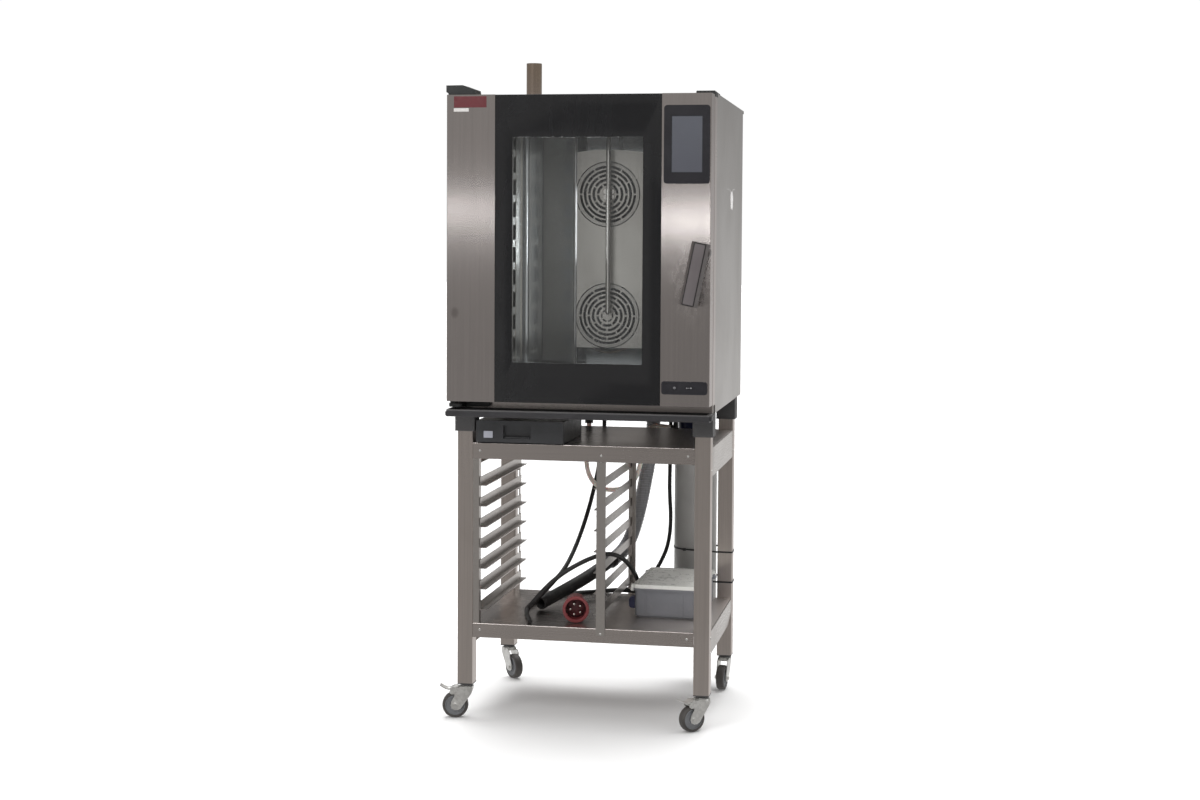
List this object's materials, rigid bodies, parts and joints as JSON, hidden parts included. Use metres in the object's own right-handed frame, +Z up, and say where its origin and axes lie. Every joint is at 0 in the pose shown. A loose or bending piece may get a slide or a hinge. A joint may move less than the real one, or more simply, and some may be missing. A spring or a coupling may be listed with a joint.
{
  "type": "combi steam oven",
  "caption": "Countertop combi steam oven with a full-height glass door and touch display, on an open castor stand with tray runners, cables, hoses and a crate.",
  "frame": {"origin": "on the floor under the centre of the bounding box", "axes": "+Z up, +X to the right as seen from the front, +Y from the front to the back"},
  "size_m": [0.8, 0.798, 1.91],
  "materials": {
    "stand_legs": "brushed stainless tube",
    "leg_caps_and_plugs": "moulded black",
    "stand_upper_shelf": "bright brushed sheet",
    "stand_lower_shelf": "bright brushed sheet",
    "stand_side_rails": "brushed sheet",
    "stand_tray_racks": "bright sheet",
    "stand_screws": "zinc plated",
    "castor_fork_front_left": "zinc plated",
    "castor_fork_front_right": "zinc plated",
    "castor_fork_rear_left": "zinc plated",
    "castor_fork_rear_right": "zinc plated",
    "castor_wheel_front_left": "grey rubber tyre on a plastic hub",
    "castor_wheel_front_right": "grey rubber tyre on a plastic hub",
    "castor_wheel_rear_left": "grey rubber tyre on a plastic hub",
    "castor_wheel_rear_right": "grey rubber tyre on a plastic hub",
    "brake_pedal_front_left": "zinc plated",
    "brake_pedal_front_right": "zinc plated",
    "base_pan": "sheet",
    "side_panel_right": "brushed sheet",
    "side_panel_left": "brushed sheet",
    "top_cover": "brushed sheet",
    "rear_panel": "plain sheet",
    "front_frame": "brushed sheet",
    "cavity_liner": "bright stainless",
    "cavity_insulation": "mineral wool",
    "cavity_tray_racks": "bright stainless",
    "fan_guard": "bright stainless",
    "fan_lower": "stainless",
    "fan_upper": "stainless",
    "fan_motors": "cast",
    "ring_heaters": "heat tinted",
    "water_injector": "polished tube",
    "chimney": "stainless tube, slightly heat tinted",
    "top_corner_covers": "black plastic",
    "door_brackets": "black",
    "door_gasket": "silicone",
    "control_electronics": "circuit boards",
    "door_gutter": "dark grey plastic",
    "drawer_housing": "dark plastic",
    "detergent_drawer": "dark plastic",
    "base_ports": "black plastic",
    "drain_fittings": "dark blue rubber",
    "drain_pipe": "light grey plastic pipe",
    "cable_ties": "black nylon",
    "door_frame": "sheet",
    "door_fascias": "vertically brushed stainless",
    "door_outer_glass": "black printed border round a clear window",
    "door_inner_glass": "clear",
    "control_bezels": "gloss black",
    "display_screen": "dark switched-off screen",
    "power_button": "gloss black",
    "door_handle": "black with a grey-brown insert",
    "mains_lead": "black rubber",
    "accessory_cable": "black rubber",
    "water_hose": "translucent white plastic",
    "drain_hose_grey": "dark grey flexible hose",
    "drain_hose_black": "black rubber",
    "mains_plug": "red plastic, plated pins",
    "crate": "blue-grey plastic",
    "crate_lid": "light grey plastic"
  },
  "bodies": {
    "oven_and_stand": {"stand_legs": "stand_legs", "leg_caps_and_plugs": "leg_caps_and_plugs", "stand_upper_shelf": "stand_upper_shelf", "stand_lower_shelf": "stand_lower_shelf", "stand_side_rails": "stand_side_rails", "stand_tray_racks": "stand_tray_racks", "stand_screws": "stand_screws", "base_pan": "base_pan", "side_panel_right": "side_panel_right", "side_panel_left": "side_panel_left", "top_cover": "top_cover", "rear_panel": "rear_panel", "front_frame": "front_frame", "cavity_liner": "cavity_liner", "cavity_insulation": "cavity_insulation", "cavity_tray_racks": "cavity_tray_racks", "fan_guard": "fan_guard", "fan_motors": "fan_motors", "ring_heaters": "ring_heaters", "water_injector": "water_injector", "chimney": "chimney", "top_corner_covers": "top_corner_covers", "door_brackets": "door_brackets", "door_gasket": "door_gasket", "control_electronics": "control_electronics", "door_gutter": "door_gutter", "drawer_housing": "drawer_housing", "base_ports": "base_ports", "drain_fittings": "drain_fittings", "drain_pipe": "drain_pipe", "cable_ties": "cable_ties", "mains_lead": "mains_lead", "accessory_cable": "accessory_cable", "water_hose": "water_hose", "drain_hose_grey": "drain_hose_grey", "drain_hose_black": "drain_hose_black", "mains_plug": "mains_plug", "crate": "crate"},
    "door": {"door_frame": "door_frame", "door_fascias": "door_fascias", "door_outer_glass": "door_outer_glass", "door_inner_glass": "door_inner_glass", "control_bezels": "control_bezels", "display_screen": "display_screen"},
    "handle": {"door_handle": "door_handle"},
    "button": {"power_button": "power_button"},
    "drawer": {"detergent_drawer": "detergent_drawer"},
    "fan_upper": {"fan_upper": "fan_upper"},
    "fan_lower": {"fan_lower": "fan_lower"},
    "crate_lid": {"crate_lid": "crate_lid"},
    "castor_front_left": {"castor_fork_front_left": "castor_fork_front_left"},
    "wheel_front_left": {"castor_wheel_front_left": "castor_wheel_front_left"},
    "castor_front_right": {"castor_fork_front_right": "castor_fork_front_right"},
    "wheel_front_right": {"castor_wheel_front_right": "castor_wheel_front_right"},
    "castor_rear_left": {"castor_fork_rear_left": "castor_fork_rear_left"},
    "wheel_rear_left": {"castor_wheel_rear_left": "castor_wheel_rear_left"},
    "castor_rear_right": {"castor_fork_rear_right": "castor_fork_rear_right"},
    "wheel_rear_right": {"castor_wheel_rear_right": "castor_wheel_rear_right"},
    "brake_front_left": {"brake_pedal_front_left": "brake_pedal_front_left"},
    "brake_front_right": {"brake_pedal_front_right": "brake_pedal_front_right"}
  },
  "joints": [
    {"name": "door_hinge", "type": "hinge", "parent": "oven_and_stand", "child": "door", "pos_m": [-0.34297, -0.319, 1.35], "axis": [0, 0, -1], "range_deg": [0, 180]},
    {"name": "handle_turn", "type": "hinge", "parent": "door", "child": "handle", "pos_m": [0.37504, -0.349, 1.353], "axis": [0, 1, 0], "range_deg": [0, 60]},
    {"name": "power_button_press", "type": "slide", "parent": "door", "child": "button", "axis": [0, 1, 0], "range_m": [0, 0.0015], "stiffness_N_per_m": 400},
    {"name": "detergent_drawer_slide", "type": "slide", "parent": "oven_and_stand", "child": "drawer", "axis": [0, -1, 0], "range_m": [0, 0.2]},
    {"name": "fan_upper_spin", "type": "hinge", "parent": "oven_and_stand", "child": "fan_upper", "pos_m": [0.02004, 0.14, 1.52], "axis": [0, 1, 0], "continuous": true},
    {"name": "fan_lower_spin", "type": "hinge", "parent": "oven_and_stand", "child": "fan_lower", "pos_m": [0.02004, 0.14, 1.154], "axis": [0, 1, 0], "continuous": true},
    {"name": "castor_front_left_swivel", "type": "hinge", "parent": "oven_and_stand", "child": "castor_front_left", "pos_m": [-0.32147, -0.2525, 0.095], "axis": [0, 0, 1], "continuous": true},
    {"name": "wheel_front_left_roll", "type": "hinge", "parent": "castor_front_left", "child": "wheel_front_left", "pos_m": [-0.35391, -0.25851, 0.0375], "axis": [0.1822, -0.9833, 0], "continuous": true},
    {"name": "brake_front_left_press", "type": "hinge", "parent": "castor_front_left", "child": "brake_front_left", "pos_m": [-0.35195, -0.25815, 0.0885], "axis": [0.1822, -0.9833, 0], "range_deg": [0, 12]},
    {"name": "castor_front_right_swivel", "type": "hinge", "parent": "oven_and_stand", "child": "castor_front_right", "pos_m": [0.36553, -0.2525, 0.095], "axis": [0, 0, 1], "continuous": true},
    {"name": "wheel_front_right_roll", "type": "hinge", "parent": "castor_front_right", "child": "wheel_front_right", "pos_m": [0.33989, -0.27327, 0.0375], "axis": [0.6293, -0.7771, 0], "continuous": true},
    {"name": "brake_front_right_press", "type": "hinge", "parent": "castor_front_right", "child": "brake_front_right", "pos_m": [0.34144, -0.27201, 0.0885], "axis": [0.6293, -0.7771, 0], "range_deg": [0, 12]},
    {"name": "castor_rear_left_swivel", "type": "hinge", "parent": "oven_and_stand", "child": "castor_rear_left", "pos_m": [-0.32147, 0.2585, 0.095], "axis": [0, 0, 1], "continuous": true},
    {"name": "wheel_rear_left_roll", "type": "hinge", "parent": "castor_rear_left", "child": "wheel_rear_left", "pos_m": [-0.29875, 0.23456, 0.0375], "axis": [0.7254, 0.6884, 0], "continuous": true},
    {"name": "castor_rear_right_swivel", "type": "hinge", "parent": "oven_and_stand", "child": "castor_rear_right", "pos_m": [0.36553, 0.2585, 0.095], "axis": [0, 0, 1], "continuous": true},
    {"name": "wheel_rear_right_roll", "type": "hinge", "parent": "castor_rear_right", "child": "wheel_rear_right", "pos_m": [0.36209, 0.22568, 0.0375], "axis": [0.9945, -0.1045, 0], "continuous": true},
    {"name": "crate_lid_hinge", "type": "hinge", "parent": "oven_and_stand", "child": "crate_lid", "pos_m": [0.34601, 0.03868, 0.37105], "axis": [0.0209, 0.9998, 0], "range_deg": [0, 90]}
  ]
}
